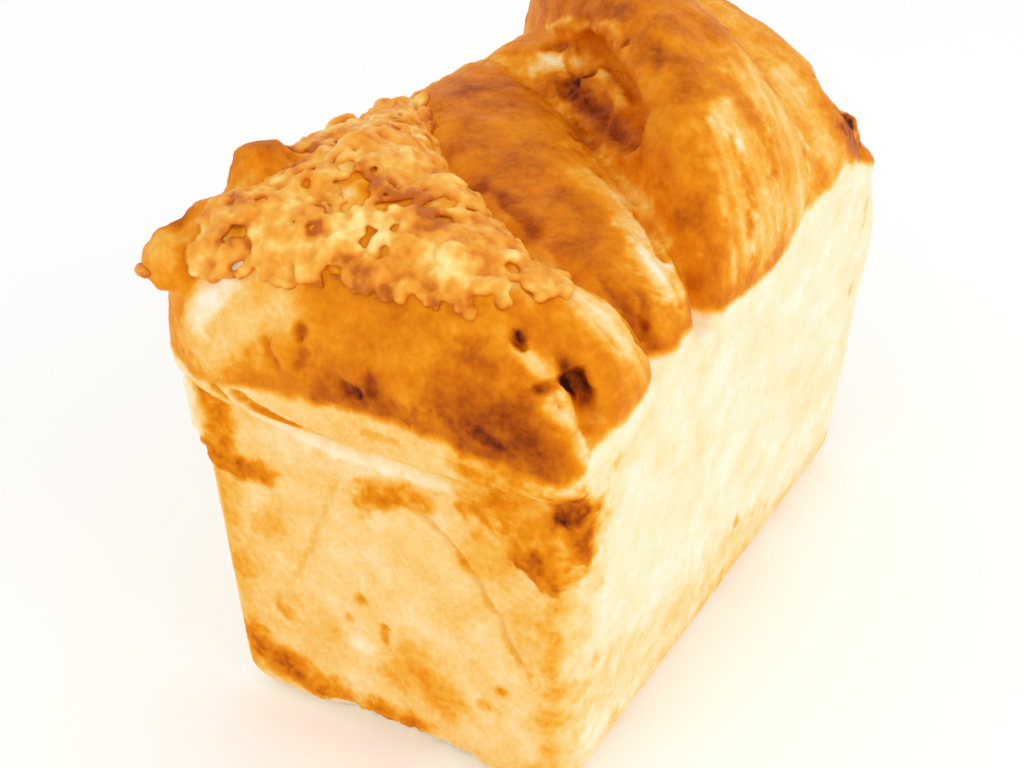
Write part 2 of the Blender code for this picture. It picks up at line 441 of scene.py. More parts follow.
def lie_of_the_dough(points):
    """The dough piece that each point belongs to, and how far across and along that piece it lies."""
    x, y = points[:, 0], points[:, 1]
    tops, spots = [], []
    for _, front, back, crest, bows, section, plan, shoulder, _ in DOUGH_PIECES:
        along = (y - front[1]) / (front[3] - front[1])
        bent = 4 * along * (1 - along)
        front_x = front[0] + (front[2] - front[0]) * along + bows[0] * bent
        back_x = back[0] + (back[2] - back[0]) * along + bows[1] * bent
        across = (x - front_x) / np.maximum(back_x - front_x, 1.0)
        u = np.abs(2 * across - 1)
        v = np.abs(2 * along - 1)
        reach = (u ** (2 / plan) + v ** (2 / plan)) ** (plan / 2)
        inside = np.clip(1 - reach ** (2 / section), 0.0, 1.0)
        crest_here = crest[0] + (crest[1] - crest[0]) * np.clip(along, 0, 1)
        tops.append(np.where(reach < 1, shoulder + (crest_here - shoulder) * inside ** (section / 2), 0.0))
        spots.append((across, along))
    owner = np.array(tops).argmax(axis=0)
    across, along = np.array(spots)[owner, :, np.arange(len(points))].T
    return owner, np.clip(across, -OVERHANG, 1 + OVERHANG), np.clip(along, -OVERHANG, 1 + OVERHANG)


def streaked(points):
    """Streaks that run along each dough piece, as patches in the piece's own lie, and each point's piece."""
    owner, across, along = lie_of_the_dough(points)
    lie = np.stack([across * STREAKS_ACROSS, along * STREAKS_ALONG, owner * STREAKS_APART], axis=1)
    return patches(lie, *STREAKS), owner


# Where the cheese lies: its back edge as y and x, its lowest edge as y and height, and its near edge as the
# two y between which it comes in. Then how the first two edges fade, how far off the pit it stays, and how
# far off a knob, measured from the knob's largest radius.
CHEESE_BACK_EDGE = ((-52, -60), (-34, -66), (-14, -58), (19, -33), (45, 2))
CHEESE_LOW_EDGE = ((-36, 128), (-20, 128), (0, 128), (24, 126), (36, 124), (46, 118))
CHEESE_NEAR_EDGE = (-44.0, -32.0)
BACK_EDGE_FADE = (0.0, 6.0)
LOW_EDGE_FADE = (-3.0, 4.0)
PIT = (-91, -35, 125)
PIT_FADE = (4.0, 9.0)
KNOB_FADE = (-1.0, 2.5)


def cheese_cover(points):
    """1 where melted cheese lies on the crust, 0 where there is none."""
    x, y, z = points.T
    before_back_edge = blend(*BACK_EDGE_FADE, np.interp(y, *zip(*CHEESE_BACK_EDGE)) - x)
    above_low_edge = blend(*LOW_EDGE_FADE, z - np.interp(y, *zip(*CHEESE_LOW_EDGE)))
    cover = before_back_edge * above_low_edge * blend(*CHEESE_NEAR_EDGE, y)
    cover *= blend(*PIT_FADE, np.linalg.norm(points - PIT, axis=1))
    for centre, radii in KNOBS:
        size = max(radii)
        away = np.linalg.norm(points - centre, axis=1)
        cover *= blend(size + KNOB_FADE[0], size + KNOB_FADE[1], away)
    return cover


# The deepest folds and tears: the line that each follows, its half width, and how far it stands out (below 0
# it is cut in).
CARVED = (
    # the slit and the pit where the front roll's end meets the flap
    (((-88, -30, 127), (-87, -43, 119), (-88, -50, 112)), 4.0, -4.6),
    (((-91, -33, 125), (-89, -35, 126)), 3.6, -4.0),
    # the torn hole under the back mound
    (((23, 12, 143), (10, 0, 141), (-8, -15, 138)), 9.0, -11.0),
    # the back mound's rolled front edge
    (((50, 12, 158), (30, -4, 155), (19, -18, 150), (8, -20, 143)), 4.5, 2.4),
    # the hollow in the back mound's near flank
    (((68, -42, 126),), 11.0, -4.4),
    # the far corner, where the dough did not fill the tin
    (((99, -58, 114), (99, -58, 104)), 30.0, -7.0),
)

# Smaller folds, tears, seams and lumps: as above, and last how much browner (below 0 it is paler).
# Most of the forms that are cut in are drawn browner as painted shade.
FORMS = (
    # the slit, painted darker as shade, and the pale strips inside it
    (((-87, -46, 118), (-87, -48, 114), (-88, -49, 111), (-90, -50, 109)), 2.4, -1.5, 0.12),
    (((-89, -46, 117), (-90, -48, 114), (-91, -49, 110)), 2.8, 0.0, 0.16),
    (((-94, -41, 117), (-92, -44, 118), (-89, -45, 117)), 2.2, -1.2, 0.28),
    (((-92, -45, 117), (-92, -46, 115), (-92, -47, 110)), 1.8, 1.0, -0.16),
    (((-94, -43, 114), (-94, -46, 112), (-93, -48, 109), (-94, -51, 106)), 1.6, 0.8, 0.0),
    # the crease between the flap and the middle leaf, painted dark as shade
    (((-68, -46, 122), (-69, -50, 119), (-66, -52, 113)), 2.2, -0.9, 0.28),
    (((-55, -44, 122), (-58, -47, 121), (-62, -48, 118)), 2.2, -0.7, 0.16),
    # the pit, painted dark as shade
    (((-91, -34, 125), (-92, -36, 124)), 1.9, -2.0, 0.54),
    # the torn hole: its floor and corners, painted dark as shade, and the strands along its back edge and
    # its front one
    (((22, 15, 135), (12, 5, 131), (2, -6, 130), (-3, -14, 131)), 10.0, 0.0, 0.21),
    (((22, 12, 135), (24, 9, 136), (25, 6, 137)), 4.0, -1.4, 0.24),
    (((19, 14, 133), (14, 7, 132), (9, 1, 133), (7, -4, 133)), 4.4, -1.2, 0.10),
    (((3, -7, 132), (-1, -12, 132), (-5, -17, 131)), 4.0, -1.4, 0.03),
    (((21, 4, 137), (16, -1, 136), (10, -7, 135)), 2.6, 1.8, -0.20),
    (((15, 12, 129), (6, 1, 128), (-7, -13, 128)), 3.0, 0.8, -0.12),
    # the back mound's rolled front edge, with painted shade in the groove and dents under the curl
    (((37, 29, 141), (29, 15, 146), (15, -3, 152)), 2.0, 1.2, -0.24),
    (((32, 26, 138), (26, 14, 142), (18, 3, 146)), 2.2, -1.2, 0.16),
    (((30, 25, 139),), 2.8, -1.4, 0.28),
    (((11, -6, 151),), 2.2, -0.9, 0.22),
    (((10, -15, 153), (5, -18, 151), (1, -19, 149)), 2.6, -0.7, 0.08),
    # the mound's far crest, which sank under the cheese
    (((-52, 38, 141), (-36, 40, 141), (-22, 44, 136)), 15.0, -3.2, 0.0),
    # the crevice beside the middle leaf, painted darker as shade, and the thin pale ridge that runs down in
    # it
    (((-26, -30, 125), (-31, -35, 124), (-39, -42, 122)), 2.4, -1.6, 0.12),
    (((-31, -39, 123), (-40, -44, 121), (-47, -49, 119), (-50, -52, 117)), 1.8, 0.3, -0.08),
    # the scar low on the middle leaf
    (((-58, -37, 125), (-60, -42, 122), (-63, -48, 117)), 2.0, -1.2, 0.14),
    # blisters on the front face
    (((-100, 22, 112.5), (-101, 21, 110.5), (-101, 19.5, 108.5)), 2.4, -0.9, 0.20),
    (((-99, 12.5, 118), (-99.5, 13.5, 117)), 2.4, -0.8, 0.26),
    (((-100, 11.5, 113), (-101, 13.5, 109.5)), 2.3, -0.9, 0.20),
    (((-101, 5.5, 109.5), (-101, 3, 108)), 2.6, -0.6, 0.11),
    (((-101, 1.5, 107.5), (-101, -1, 107.5)), 2.8, -0.8, 0.16),
    (((-100, -5, 111), (-101, -5.5, 108.5)), 2.6, -0.7, 0.14),
    (((-100, 17, 112.5),), 4.0, 1.0, -0.05),
    (((-101, -1, 111.5),), 3.6, 0.8, 0.0),
    (((-99, 33, 116),), 4.0, 0.7, 0.0),
    # folded lips under the front edge, with painted shade in the creases between them
    (((-101, 31, 97), (-101, 26, 95), (-100, 20, 93.5), (-99, 14, 92.5), (-97, 5, 91)), 1.8, -1.6, 0.34),
    (((-97, 5, 91), (-97, -8, 92), (-97, -22, 93), (-97, -34, 93), (-96, -42, 93)), 1.2, -0.6, 0.03),
    (((-96, 30, 90), (-96, 12, 86), (-96, -8, 86), (-96, -30, 87)), 3.0, 0.9, -0.10),
    (((-100, 35, 94), (-101, 38, 96)), 2.2, -0.8, 0.30),
    (((-101, -3, 98), (-101, -11, 98)), 1.6, -0.4, 0.10),
    (((-100, -23, 97), (-100, -33, 96)), 1.8, -0.4, 0.08),
    # seams of the folded end, painted darker as shade
    (((-94, -12, 77), (-94, -21, 69), (-94, -25, 64), (-94, -29, 58), (-93, -33, 50), (-93, -37, 43)),
     1.2, -0.9, 0.12),
    (((-94, 10, 78), (-94, 14, 68), (-94, 18, 58), (-93, 24, 45)), 1.4, -0.6, 0.06),
    # the dimpled lump low on the end, with painted shade in its dimples
    (((-92, 7, 31),), 5.0, 1.0, -0.14),
    (((-93, 6, 44),), 2.6, -0.7, 0.26),
    (((-93, 10, 37),), 2.2, -0.6, 0.20),
    (((-93, 0, 38), (-92, 0, 34)), 2.2, -0.7, 0.26),
    # the heel of the end, which rose a little from the tin
    (((-91, 14, 1), (-91, -6, 1), (-91, -20, 1)), 8.0, -2.6, 0.0),
    # soft creases in the long walls, where two rolls met against the tin, a little darker as painted shade
    (((-63, -55, 110), (-60, -53, 78), (-50, -50, 40)), 2.6, -0.35, 0.02),
    (((-44, -55, 109), (-38, -53, 84), (-30, -51, 62)), 2.4, -0.3, 0.02),
    (((42, -55, 112), (50, -53, 80), (52, -51, 48)), 2.8, -0.35, 0.02),
    (((-12, 55, 110), (-22, 53, 84), (-26, 50, 44)), 2.4, -0.7, 0.05),
    (((38, 55, 112), (33, 53, 88), (36, 51, 60)), 2.2, -0.6, 0.05),
    (((70, 55, 110), (66, 53, 82), (58, 50, 36)), 2.4, -0.7, 0.04),
    # the back end's seams and its dimpled lump, with painted shade in the seams and dimples
    (((95, 34, 104), (94, 18, 80), (93, -6, 58), (92, -30, 46)), 1.4, -0.8, 0.10),
    (((94, -34, 100), (94, -24, 84), (93, -6, 74)), 1.3, -0.6, 0.06),
    (((93, 20, 36),), 4.0, 0.8, -0.10),
    (((93, 15, 44),), 2.4, -0.6, 0.24),
)

# Where cheese ran down the tin and fried: line, half width, how far it stands out, how brown it is.
FRIED = (
    (((-94, -27, 85), (-94, -33, 81), (-94, -38, 77), (-93, -43, 72)), 6.4, 0.6, 0.52),
    (((-93, -43, 72), (-91, -48, 78), (-92, -50, 87)), 6.8, 0.7, 0.54),
    (((-91, -50, 78), (-92, -50, 88)), 4.6, 0.5, 0.66),
    (((-93, -43, 71), (-93, -41, 73)), 4.8, 0.5, 0.74),
    (((-96, -49, 94), (-94, -48, 91), (-93, -48, 88)), 5.0, 0.3, 0.82),
    (((-94, 3, 76), (-94, -5, 79), (-94, -13, 80)), 5.6, 0.8, 0.54),
    (((-93, 44, 92), (-93, 42, 82), (-93, 43, 74)), 6.2, 0.6, 0.58),
    (((-94, 46, 73), (-94, 38, 71), (-94, 31, 72)), 4.8, 0.8, 0.66),
    (((-92, 29, 31),), 4.2, 0.4, 0.52),
    (((-92, -32, 33),), 3.0, 0.4, 0.60),
    (((-92, -27, 26.5),), 3.0, 0.3, 0.50),
)

# Where the oven browned the crust more (above 0) or left it paler: line, half width, how much.
BROWNED = (
    # front face
    (((-99, -25, 113), (-98, -36, 108), (-97, -44, 104)), 13.0, 0.24),
    (((-99, -35, 109), (-98, -41, 105)), 7.0, 0.08),
    (((-99, 6, 124), (-95, -10, 128), (-94, -24, 126)), 9.0, 0.03),
    (((-100, 26, 102), (-101, 5, 104), (-101, -14, 104), (-100, -32, 103)), 6.0, 0.13),
    (((-101, 6, 108), (-101, -7, 109)), 7.0, 0.08),
    (((-99, 41, 114), (-98, 37, 122), (-96, 33, 126)), 6.5, -0.32),
    (((-99, 39, 107), (-99, 30, 117), (-99, 22, 121)), 11.0, -0.22),
    (((-99, 4, 116), (-99, -9, 117)), 9.0, 0.04),
    # side knobs
    (((-70, 43, 142), (-74, 46, 139)), 7.0, 0.13),
    (((-96, 50, 124),), 8.0, -0.14),
    (((-93, 55, 126), (-90, 52, 130)), 4.0, 0.20),
    (((-79, 43, 134),), 7.0, -0.10),
    # middle leaf
    (((-11, 16, 133), (-23, -2, 131), (-44, -19, 128)), 16.0, 0.03),
    (((-41, 4, 128), (-44, -3, 128), (-52, -13, 126)), 7.0, 0.17),
    (((-50, -26, 127), (-55, -33, 126)), 7.0, 0.06),
    (((-7, 33, 134), (5, 32, 134), (15, 25, 133)), 6.0, 0.06),
    (((-18, 30, 132), (-34, 14, 129)), 5.0, -0.08),
    # the pale band down the near half of the leaf: partly paler skin, partly painted highlight
    (((-18, -6, 130), (-25, -19, 128), (-32, -28, 126), (-43, -42, 123)), 8.0, -0.12),
    (((-54, -51, 118), (-59, -51, 117)), 6.0, -0.12),
    # flap
    (((-63, -50, 112), (-72, -54, 111), (-84, -54, 112)), 5.0, 0.08),
    (((-83, -42, 126), (-84, -48, 121)), 6.0, 0.06),
    # back mound
    (((43, 33, 146), (31, 20, 150), (22, 6, 154), (17, -5, 156)), 7.0, 0.13),
    (((11, -10, 153), (7, -15, 152), (5, -21, 151), (2, -27, 149), (-3, -30, 146)), 6.0, 0.11),
    (((60, 44, 160), (44, 30, 164)), 12.0, 0.10),
    (((17, -16, 155), (31, -21, 152)), 9.0, 0.08),
    (((-33, -51, 114), (-32, -48, 121), (-29, -44, 128)), 8.0, 0.11),
    (((-20, -30, 134), (-26, -38, 129)), 8.0, 0.03),
    # in and below the hollow of the back mound's near flank, much darker
    (((66, -41, 127), (67, -46, 121)), 7.0, 0.46),
    (((56, -45, 126), (62, -47, 120)), 8.0, 0.13),
    (((63, -49, 119), (64, -51, 114), (56, -51, 118)), 8.0, 0.26),
)

# Where the dough stretched as it rose, so that its thin skin shows pale streaks: line, half width, how pale.
STRETCHED = (
    # the first two: the pale band down the near half of the middle leaf, partly stretched skin and partly
    # painted highlight
    (((-6, -5, 128), (-14, -17, 126), (-29, -31, 125), (-39, -40, 124), (-49, -48, 121)), 8.0, 0.28),
    (((-38, -34, 126), (-52, -46, 122)), 9.0, 0.14),
    (((-92, -36, 124), (-93, -39, 122), (-93, -42, 120), (-93, -44, 118)), 3.0, 0.34),
    (((-94, -44, 114), (-94, -46, 112), (-93, -48, 109), (-94, -51, 106), (-93, -53, 103)), 3.4, 0.30),
    (((-86, -48, 111), (-86, -51, 107)), 3.0, 0.04),
    (((-74, -40, 127), (-73, -45, 125), (-73, -49, 122), (-72, -52, 117)), 7.0, 0.22),
    (((-77, -44, 126), (-77, -49, 121)), 6.0, 0.16),
    (((-43, 2, 128), (-53, -14, 126), (-62, -26, 127)), 3.0, 0.24),
    (((-8, -39, 141), (-13, -46, 133), (-18, -50, 125), (-22, -54, 118)), 7.0, 0.35),
    (((2, -40, 142), (-2, -50, 128), (-8, -54, 116)), 9.0, 0.24),
    (((26, -38, 143), (20, -50, 128), (12, -54, 118)), 16.0, 0.28),
    (((44, -38, 139), (40, -50, 124)), 12.0, 0.15),
    (((25, 24, 136), (25, 18, 136), (26, 13, 136)), 5.5, 0.37),
    (((26, 39, 133), (24, 31, 134)), 5.0, 0.14),
    (((14, 15, 129), (2, 4, 129), (-8, -7, 128), (-13, -14, 127)), 4.0, 0.10),
    (((-22, 52, 132), (20, 54, 134), (50, 52, 136)), 10.0, 0.16),
    (((80, 30, 136), (84, 0, 132), (84, -30, 124)), 10.0, 0.18),
)

# Soft golden marks on the pale walls: line, half width, how much browner.
WALL_MARKS = (
    (((-92, 40, 16), (-92, 30, 12), (-91, 12, 8), (-91, -6, 7)), 9.0, 0.32),
    (((-92, 36, 15), (-92, 26, 12)), 5.0, 0.05),
    (((-93, 33, 55), (-93, 27, 62)), 6.0, 0.10),
    (((-93, -4, 24), (-93, -8, 32), (-93, -16, 22)), 10.0, 0.15),
    (((-93, 44, 60), (-93, 38, 42), (-93, 20, 30)), 12.0, 0.07),
    (((-80, -49, 32), (-40, -49, 20), (20, -48, 14)), 16.0, 0.12),
    (((-94, -33, 88), (-93, -43, 82), (-92, -49, 86)), 16.0, 0.26),
    (((-100, -27, 100), (-99, -36, 99), (-98, -44, 97), (-97, -50, 97)), 6.0, 0.10),
    (((-94, -27, 71), (-93, -36, 65), (-93, -40, 48)), 9.0, 0.08),
    (((-80, -53, 94), (-68, -53, 98)), 8.0, 0.07),
    (((-92, -49, 76), (-90, -49, 65), (-90, -48, 47), (-89, -47, 35), (-88, -46, 12)), 10.0, 0.15),
    (((-93, 47, 70), (-91, 45, 40), (-90, 44, 12)), 10.0, 0.08),
    (((-84, -47, 5), (-20, -47, 4), (84, -47, 5)), 10.0, 0.12),
    (((75, -52, 66),), 3.4, 0.16),
    (((75, -53, 94), (74, -53, 88)), 3.0, 0.12),
    (((5, -49.5, 26),), 2.8, 0.34),
    (((-62, -48, 10),), 3.0, 0.06),
    (((78, -49, 27),), 4.0, 0.10),
    (((-95, 28, 86), (-95, 12, 83), (-95, -10, 86)), 7.0, -0.08),
    (((93, -30, 12), (93, 0, 8), (93, 30, 10)), 8.0, 0.22),
    (((-60, 48, 8), (-20, 47, 6), (30, 47, 8)), 7.0, 0.16),
)

# The floor of the slit, painted darker than its lips as shade: its line, how it fades and how much darker
# the painted shade makes it.
SLIT_FLOOR = ((-86, -42, 117), (-86, -45, 114))
SLIT_FADE = (2.5, 6.0)
SLIT_PAINTED_SHADE = 0.32

# The far corner of the near side, where the dough stayed below the tin's rim and is smooth.
LOW_CORNER = (94, -51, 108)
EVENED_REACH = 16.0
EVENED_ROUNDS = 80

# The torn hole, whose inside shows rough crumb: its line and how far the crumb reaches.
TORN = ((22, 14, 136), (8, 0, 132), (-10, -16, 130))
TORN_HALF_WIDTH = 16.0

# The relief: how far above the rim's edge it comes in, how much of it the walls still have, how much wider
# the stretched skin's fibres reach than its streaks, how far a knob's lumps reach, how high the fibres
# stand, what share of that they have where the skin isn't stretched, and how ragged a broad mark's edge is.
RELIEF_EDGE = (-1.0, 11.0)
WALL_RELIEF = 0.25
WALL_PIMPLES = 0.35
STRETCHED_SPREAD = 1.3
KNOB_SPREAD = 4.0
FIBRE_HEIGHT = 0.4
UNSTRETCHED_FIBRES = 0.4
RAGGED = 0.45


def from_least(least, share):
    """The least where the share is 0, rising to 1 where it is 1."""
    return least + (1 - least) * share


shape = bmesh.new()
add_tin_block(shape)
for piece in DOUGH_PIECES:
    add_dough_piece(shape, piece)
for centre, radii in KNOBS:
    add_knob(shape, centre, radii)
bread = object_from("bread", shape)
remeshed(bread, CARVING_VOXEL)
points, normals = read_points(bread.data)
height = np.zeros(len(points))
for path, half_width, lift in CARVED:
    height += lift * (1 - blend(0.0, half_width, away_from_line(points, path)))
write_points(bread.data, points + normals * height[:, None])
remeshed(bread, BREAD_VOXEL)
evened(bread, LOW_CORNER, EVENED_REACH, EVENED_ROUNDS)

points, normals = read_points(bread.data)
wander = patches(points, *WANDER)
ragged = RAGGED * wander
jagged = patches(points, *JAGS)
above_rim = blend(*RELIEF_EDGE, points[:, 2] - rim_height(points))
streaks, _ = streaked(points)
stretched = np.zeros(len(points))
for path, half_width, _ in STRETCHED:
    stretched = np.maximum(stretched, drawn(points, path, half_width * STRETCHED_SPREAD, ragged))
height = patches(points, *SWELLS) * from_least(WALL_RELIEF, above_rim)
height += patches(points, *DENTS) * from_least(WALL_RELIEF, above_rim)
height += patches(points, *CHEESE_CRAGS) * cheese_cover(points)
height += patches(points, *CRUMBS) * drawn(points, TORN, TORN_HALF_WIDTH, wander)
height += FIBRE_HEIGHT * streaks * above_rim * from_least(UNSTRETCHED_FIBRES, stretched)
lumps = patches(points, *KNOB_LUMPS)
for centre, radii in KNOBS:
    away = np.linalg.norm(points - centre, axis=1)
    height += lumps * (1 - blend(max(radii), max(radii) + KNOB_SPREAD, away))
height += patches(points, *PIMPLES) * from_least(WALL_PIMPLES, above_rim)
for path, half_width, lift, _ in FORMS:
    height += lift * drawn(points, path, half_width, jagged)
for path, half_width, lift, _ in FRIED:
    height += lift * drawn(points, path, half_width, ragged)
points += normals * height[:, None]
points[points[:, 2] < FOOT, 2] = 0.0
write_points(bread.data, points)
thinned(bread, BREAD_TRIANGLES)

# How far the skin is baked, from 0, pale, to 1, burnt: the long walls, what the end walls have more, each
# dough piece's crust, and the crust under the cheese. Then how much the mottles change each of them.
WALL_TONE = 0.09
END_WALL_MORE = 0.19
CRUST_TONES = {
    "front_roll": 0.54,
    "mound": 0.58,
    "flap": 0.52,
    "middle_leaf": 0.64,
    "ledge": 0.56,
    "back_front": 0.59,
    "back_rear": 0.50,
    "back_end": 0.55,
}
UNDER_CHEESE_TONE = 0.50
MARK_MOTTLING = 0.6
CRUST_MOTTLING = 0.05
FRIED_MOTTLING = 0.22
# A stretched place is paler by this share of its strength, and its streaks by that share more or less.
STRETCHED_PALENESS = 0.85
STRETCHED_STREAKS = 0.6
# How the crust goes over into the wall along the rim. Then where an end wall begins, out from the middle,
# and where it ends at a long wall.
CRUST_EDGE = (-1.3, 1.3)
END_WALL_X = (86.0, 92.0)
END_WALL_Y = (44.0, 50.5)

points, normals = read_points(bread.data)
ragged = RAGGED * patches(points, *WANDER)
jagged = patches(points, *JAGS)
mottled = patches(points, *MOTTLES)
streaks, owner = streaked(points)
crust = blend(*CRUST_EDGE, points[:, 2] - rim_height(points) + patches(points, *RIM_WANDER))

on_an_end = blend(*END_WALL_X, np.abs(points[:, 0])) * (1 - blend(*END_WALL_Y, np.abs(points[:, 1])))
wall_tone = WALL_TONE + END_WALL_MORE * on_an_end + patches(points, *WALL_CLOUDS)
for path, half_width, strength in WALL_MARKS:
    wall_tone += strength * (1 + MARK_MOTTLING * mottled) * drawn(points, path, half_width, ragged)

tone_of_piece = np.array([CRUST_TONES[piece[0]] for piece in DOUGH_PIECES])
crust_tone = tone_of_piece[owner] + patches(points, *CRUST_CLOUDS) + CRUST_MOTTLING * mottled
under_cheese = UNDER_CHEESE_TONE + patches(points, *UNDER_CHEESE_CLOUDS)
crust_tone += (under_cheese - crust_tone) * cheese_cover(points)
for path, half_width, strength in BROWNED:
    crust_tone += strength * drawn(points, path, half_width, ragged)
for path, half_width, strength in STRETCHED:
    paleness = strength * drawn(points, path, half_width, ragged)
    crust_tone -= paleness * (STRETCHED_PALENESS + STRETCHED_STREAKS * streaks)
tone = wall_tone * (1 - crust) + crust_tone * crust
# painted shade on the slit's floor
tone += SLIT_PAINTED_SHADE * (1 - blend(*SLIT_FADE, away_from_line(points, SLIT_FLOOR)))
# the forms' own tone: browning, and painted shade in the forms that are cut in
for path, half_width, _, browner in FORMS:
    tone += browner * drawn(points, path, half_width, jagged)
for path, half_width, _, fried_tone in FRIED:
    fried = drawn(points, path, half_width, ragged)
    tone += (fried_tone + FRIED_MOTTLING * mottled - tone) * fried


def store(mesh, name, values):
    """Keeps one number per point on the mesh, for its material to read."""
    layer = mesh.attributes.new(name, "FLOAT", "POINT")
    layer.data.foreach_set("value", np.clip(values, 0.0, 1.0).astype(np.float32))


store(bread.data, "baked", tone)
store(bread.data, "crust", crust)


def link(tree, source, target):
    """A link from one socket to another."""
    tree.links.new(source, target)


def node(tree, kind, **settings):
    """A new node of that kind with its settings."""
    made = tree.nodes.new(kind)
    for name, value in settings.items():
        setattr(made, name, value)
    return made


def attribute(tree, name):
    """The number that the mesh keeps under that name."""
    return node(tree, "ShaderNodeAttribute", attribute_name=name).outputs["Fac"]


def grain(tree, size, detail, roughness):
    """A noise pattern on the object's own coordinates; size is the length of one patch in millimetres."""
    made = node(tree, "ShaderNodeTexNoise")
    made.inputs["Scale"].default_value = 1 / (size * MM)
    made.inputs["Detail"].default_value = detail
    made.inputs["Roughness"].default_value = roughness
    link(tree, node(tree, "ShaderNodeTexCoord").outputs["Object"], made.inputs["Vector"])
    return made.outputs["Fac"]


def maths(tree, operation, *values, clamp=False):
    """The result of one sum on numbers and sockets."""
    made = node(tree, "ShaderNodeMath", operation=operation, use_clamp=clamp)
    for socket, value in zip(made.inputs, values):
        if isinstance(value, (int, float)):
            socket.default_value = value
        else:
            link(tree, value, socket)
    return made.outputs["Value"]


def linear(value):
    """An sRGB part from 0 to 255 as linear light."""
    value = value / 255
    return value / 12.92 if value <= 0.04045 else ((value + 0.055) / 1.055) ** 2.4


def ramp(tree, source, stops):
    """A colour ramp; each stop is a place from 0 to 1 and an sRGB colour."""
    made = node(tree, "ShaderNodeValToRGB")
    link(tree, source, made.inputs["Fac"])
    slots = made.color_ramp.elements
    slots[0].position = stops[0][0]
    slots[1].position = stops[-1][0]
    for place, colour in stops[1:-1]:
        slots.new(place)
    for slot, (place, colour) in zip(slots, stops):
        slot.color = (*[linear(part) for part in colour], 1.0)
    return made.outputs["Color"]


# Each noise of the toasting: the length of one patch in millimetres, its detail and its roughness.
PATCHES = (6.0, 4.0, 0.6)
FLECKS = (1.5, 3.0, 0.6)
PORES = (0.9, 4.0, 0.6)
DIMPLES = (2.8, 3.0, 0.5)
MIDDLE_GREY = 0.5
PORE_SHARE = 0.5
DULLNESS = 0.76
FLECK_DULLNESS = 0.3
BUMP_STRENGTH = 0.5
SOAK_DEPTH = 3.0
CRUST_GLOSS = 0.26


def build_toasting():
    """A node group that mottles a tone from 0 to 1, roughens it and gives the height of its fine pores."""
    group = bpy.data.node_groups.new("toasting", "ShaderNodeTree")
    for name in ("Tone", "Patch Strength", "Fleck Strength", "Gloss"):
        group.interface.new_socket(name=name, in_out="INPUT", socket_type="NodeSocketFloat")
    for name in ("Tone", "Roughness", "Height"):
        group.interface.new_socket(name=name, in_out="OUTPUT", socket_type="NodeSocketFloat")
    given = node(group, "NodeGroupInput").outputs
    result = node(group, "NodeGroupOutput").inputs
    patch = maths(group, "SUBTRACT", grain(group, *PATCHES), MIDDLE_GREY)
    fleck = maths(group, "SUBTRACT", grain(group, *FLECKS), MIDDLE_GREY)
    tone = maths(group, "MULTIPLY_ADD", patch, given["Patch Strength"], given["Tone"])
    tone = maths(group, "MULTIPLY_ADD", fleck, given["Fleck Strength"], tone, clamp=True)
    link(group, tone, result["Tone"])
    dull = maths(group, "SUBTRACT", DULLNESS, given["Gloss"])
    dull = maths(group, "MULTIPLY_ADD", fleck, FLECK_DULLNESS, dull, clamp=True)
    link(group, dull, result["Roughness"])
    pore = maths(group, "MULTIPLY_ADD", grain(group, *PORES), PORE_SHARE, grain(group, *DIMPLES))
    link(group, pore, result["Height"])
    return group


toasting = build_toasting()


def toasted_material(name, tone, colours, patch, fleck, pore_depth, specular, soak, soak_colours):
    """A material whose tone, roughness and pores come from the toasting group.

    The tone is the name of a number on the mesh, and patch and fleck are how strongly each changes it. Soak
    is how much of the light goes into the soft stuff below, and soak_colours how deep each colour goes.
    The material comes back with its tree and the group's node, whose gloss is still to be set.
    """
    material, tree, shader = new_material(name)
    toast = node(tree, "ShaderNodeGroup", node_tree=toasting)
    link(tree, attribute(tree, tone), toast.inputs["Tone"])
    toast.inputs["Patch Strength"].default_value = patch
    toast.inputs["Fleck Strength"].default_value = fleck
    link(tree, ramp(tree, toast.outputs["Tone"], colours), shader.inputs["Base Color"])
    link(tree, toast.outputs["Roughness"], shader.inputs["Roughness"])
    pores = node(tree, "ShaderNodeBump")
    pores.inputs["Strength"].default_value = BUMP_STRENGTH
    pores.inputs["Distance"].default_value = pore_depth * MM
    link(tree, toast.outputs["Height"], pores.inputs["Height"])
    link(tree, pores.outputs["Normal"], shader.inputs["Normal"])
    shader.inputs["Specular IOR Level"].default_value = specular
    shader.inputs["Subsurface Weight"].default_value = soak
    shader.inputs["Subsurface Radius"].default_value = soak_colours
    shader.inputs["Subsurface Scale"].default_value = SOAK_DEPTH * MM
    return material, tree, toast


# From hardly baked to burnt.
BAKED_COLOURS = (
    (0.00, (255, 246, 225)),
    (0.12, (254, 233, 190)),
    (0.28, (250, 206, 126)),
    (0.40, (245, 179, 66)),
    (0.52, (238, 147, 14)),
    (0.64, (222, 123, 0)),
    (0.76, (192, 95, 0)),
    (0.86, (154, 64, 0)),
    (0.94, (100, 38, 6)),
    (1.00, (52, 20, 8)),
)

crust_skin, tree, toast = toasted_material(
    "baked_crust",
    tone="baked",
    colours=BAKED_COLOURS,
    patch=0.22,
    fleck=0.12,
    pore_depth=0.6,
    specular=0.08,
    soak=0.12,
    soak_colours=(1.0, 0.55, 0.25),
)
link(tree, maths(tree, "MULTIPLY", attribute(tree, "crust"), CRUST_GLOSS), toast.inputs["Gloss"])
bread.data.materials.append(crust_skin)
bread.data.shade_smooth()
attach(bread, "root")
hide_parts("loaf")

# The melted cheese.
# Grated cheese that was strewn over the front end before baking. The shreds ran together, sank between the
# crags of the crust, curled and bubbled, and toasted in patches.
SHREDS = 300
SHRED_STEP = 1.3
SHRED_RADIUS = (0.9, 1.8)
SHRED_LENGTH = (6.0, 20.0)
SHRED_LIFT = 0.35
SHRED_FLATNESS = 0.8
SHRED_WOBBLE = 0.12
